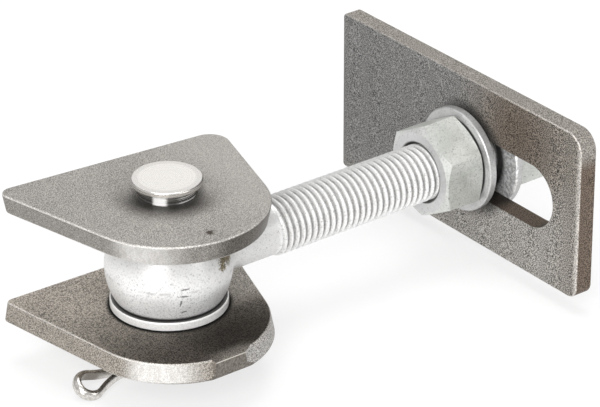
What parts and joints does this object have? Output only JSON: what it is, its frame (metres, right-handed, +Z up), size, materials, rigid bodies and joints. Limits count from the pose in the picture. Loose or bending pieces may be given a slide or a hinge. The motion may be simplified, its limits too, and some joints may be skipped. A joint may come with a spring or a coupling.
{
  "type": "adjustable gate hinge",
  "caption": "Weld-on gate hinge: eye bolt swings on a pin between two post plates and carries a slotted gate plate clamped by nuts, adjustable along thread and slot.",
  "frame": {"origin": "on the lower hinge plate's weld edge, square to the pin, at half the plate's thickness", "axes": "+Y out of the weld edge into the post, +X along the weld edge towards the gate, +Z up along the hinge pin"},
  "size_m": [0.204, 0.1264, 0.0675],
  "materials": {
    "bare_steel": "bare blasted steel plate, fine matt grain, flame-cut rims",
    "galvanised_steel": "hot-dip galvanised, pale grey with small pits",
    "bright_steel": "bright turned and zinc-plated steel"
  },
  "bodies": {
    "bracket": {"lower_hinge_plate": "bare_steel", "lower_thrust_washer": "galvanised_steel"},
    "upper_plate": {"upper_hinge_plate": "bare_steel"},
    "pin": {"hinge_pin": "bright_steel", "split_pin": "bright_steel"},
    "bolt": {"eye_bolt": "galvanised_steel", "upper_thrust_washer": "galvanised_steel", "upper_spacing_washer": "galvanised_steel"},
    "front_clamp": {"front_washer": "galvanised_steel"},
    "front_nut": {"front_nut": "galvanised_steel"},
    "rear_nut": {"rear_nut": "galvanised_steel"},
    "rear_clamp": {"rear_washer": "galvanised_steel"},
    "gate_plate": {"slotted_plate": "bare_steel"}
  },
  "joints": [
    {"name": "pin_turn", "type": "hinge", "parent": "bracket", "child": "pin", "pos_m": [0, -0.0326, 0], "axis": [0, 0, 1], "continuous": true},
    {"name": "upper_plate_turn", "type": "hinge", "parent": "bracket", "child": "upper_plate", "pos_m": [0, -0.0326, 0], "axis": [0, 0, 1], "continuous": true},
    {"name": "hinge_swing", "type": "hinge", "parent": "bracket", "child": "bolt", "pos_m": [0, -0.0326, 0], "axis": [0, 0, 1], "range_deg": [-176.5, 3.5]},
    {"name": "depth_adjust", "type": "slide", "parent": "bolt", "child": "front_clamp", "axis": [0.9996, 0.0288, 0], "range_m": [-0.058, 0.008]},
    {"name": "front_nut_turn", "type": "hinge", "parent": "front_clamp", "child": "front_nut", "pos_m": [0.12395, -0.02903, 0.018], "axis": [0.9996, 0.0288, 0], "range_deg": [-8353, 1153]},
    {"name": "rear_nut_turn", "type": "hinge", "parent": "front_clamp", "child": "rear_nut", "pos_m": [0.12395, -0.02903, 0.018], "axis": [0.9996, 0.0288, 0], "range_deg": [-8353, 1153]},
    {"name": "plate_roll", "type": "hinge", "parent": "front_clamp", "child": "rear_clamp", "pos_m": [0.12395, -0.02903, 0.018], "axis": [0.9996, 0.0288, 0], "range_deg": [-180, 180]},
    {"name": "slot_shift", "type": "slide", "parent": "rear_clamp", "child": "gate_plate", "axis": [-0.0288, 0.9996, 0], "range_m": [-0.0035, 0.0365]}
  ],
  "couplings": [
    {"joint": "front_nut_turn", "follows": "depth_adjust", "rad_per_m": 2513.3},
    {"joint": "rear_nut_turn", "follows": "depth_adjust", "rad_per_m": 2513.3}
  ]
}
